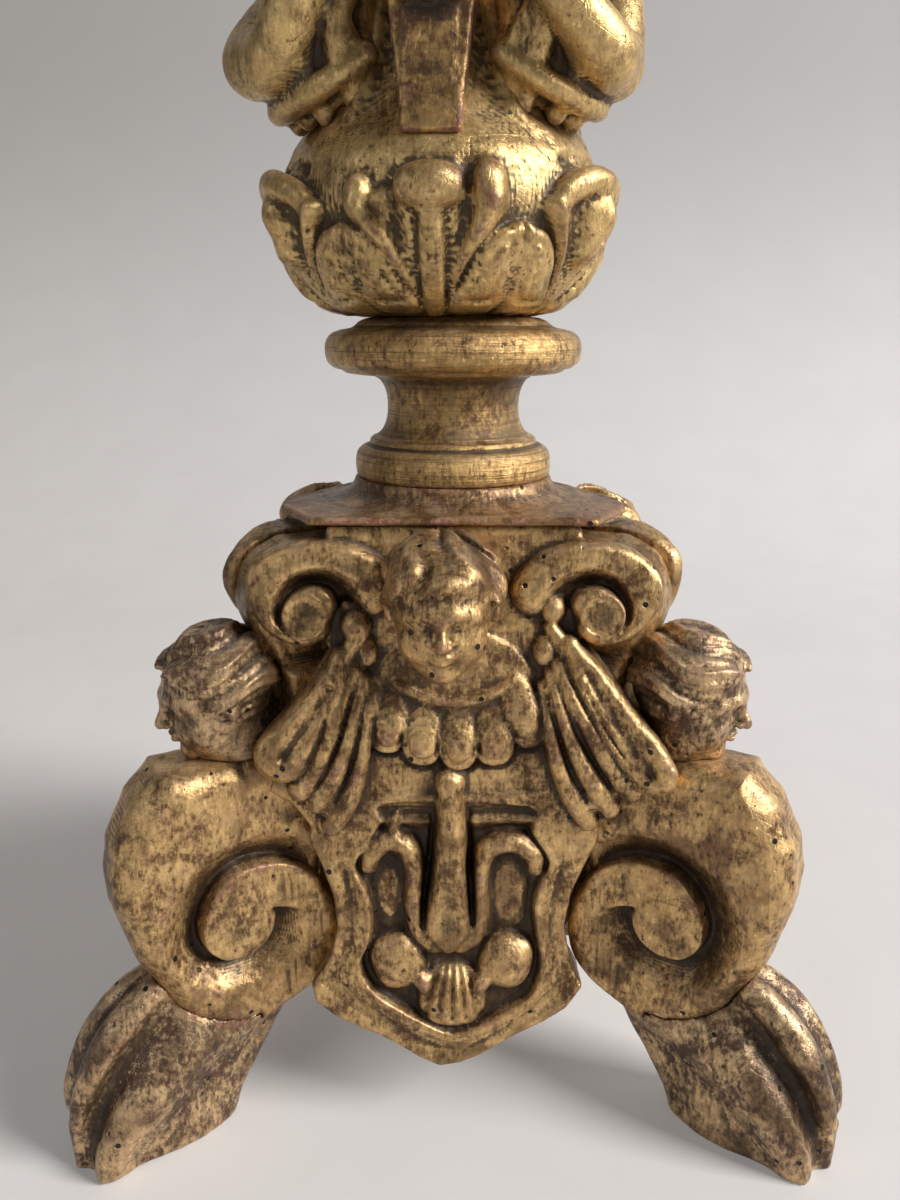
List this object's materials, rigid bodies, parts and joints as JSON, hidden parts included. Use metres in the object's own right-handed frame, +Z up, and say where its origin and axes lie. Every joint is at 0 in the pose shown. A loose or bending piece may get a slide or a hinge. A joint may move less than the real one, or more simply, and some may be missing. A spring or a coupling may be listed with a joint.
{
  "type": "candle stand",
  "caption": "Tall carved and gilded wooden candle stand on a three-sided scrolled foot with lion paws, a turned collar, a leaf bulb with putti, a baluster and a drip dish with a pricket.",
  "frame": {"origin": "middle of the bounding box, on the floor under the paws", "axes": "+Z up along the stem, -Y toward the face of the foot that the picture shows, +X to its right"},
  "size_m": [0.3552, 0.3122, 1.0027],
  "materials": {
    "gilding": "worn water gilding over bole on carved wood",
    "worn_gilding": "browned and rubbed gilding on turned wood",
    "bare_wood": "bare sawn wood",
    "iron": "forged and darkened"
  },
  "bodies": {
    "root": {"foot_core": "bare_wood", "plinth": "worn_gilding", "turned_collar": "worn_gilding", "face_panel_1": "gilding", "face_panel_2": "gilding", "face_panel_3": "gilding", "cherub_head_1": "gilding", "cherub_head_2": "gilding", "cherub_head_3": "gilding", "corner_console_1": "gilding", "corner_console_2": "gilding", "corner_console_3": "gilding", "console_dowel_1": "bare_wood", "console_dowel_2": "bare_wood", "console_dowel_3": "bare_wood", "corner_head_1": "gilding", "corner_head_2": "gilding", "corner_head_3": "gilding", "paw_foot_1": "gilding", "paw_foot_2": "gilding", "paw_foot_3": "gilding", "paw_dowel_1": "bare_wood", "paw_dowel_2": "bare_wood", "paw_dowel_3": "bare_wood", "figure_block": "gilding", "strap_1": "gilding", "strap_2": "gilding", "strap_3": "gilding", "putto_1": "gilding", "putto_2": "gilding", "putto_3": "gilding", "upper_baluster": "gilding", "leaf_cup": "gilding", "drip_dish": "worn_gilding", "drip_pan": "iron", "pricket": "iron"}
  },
  "joints": []
}
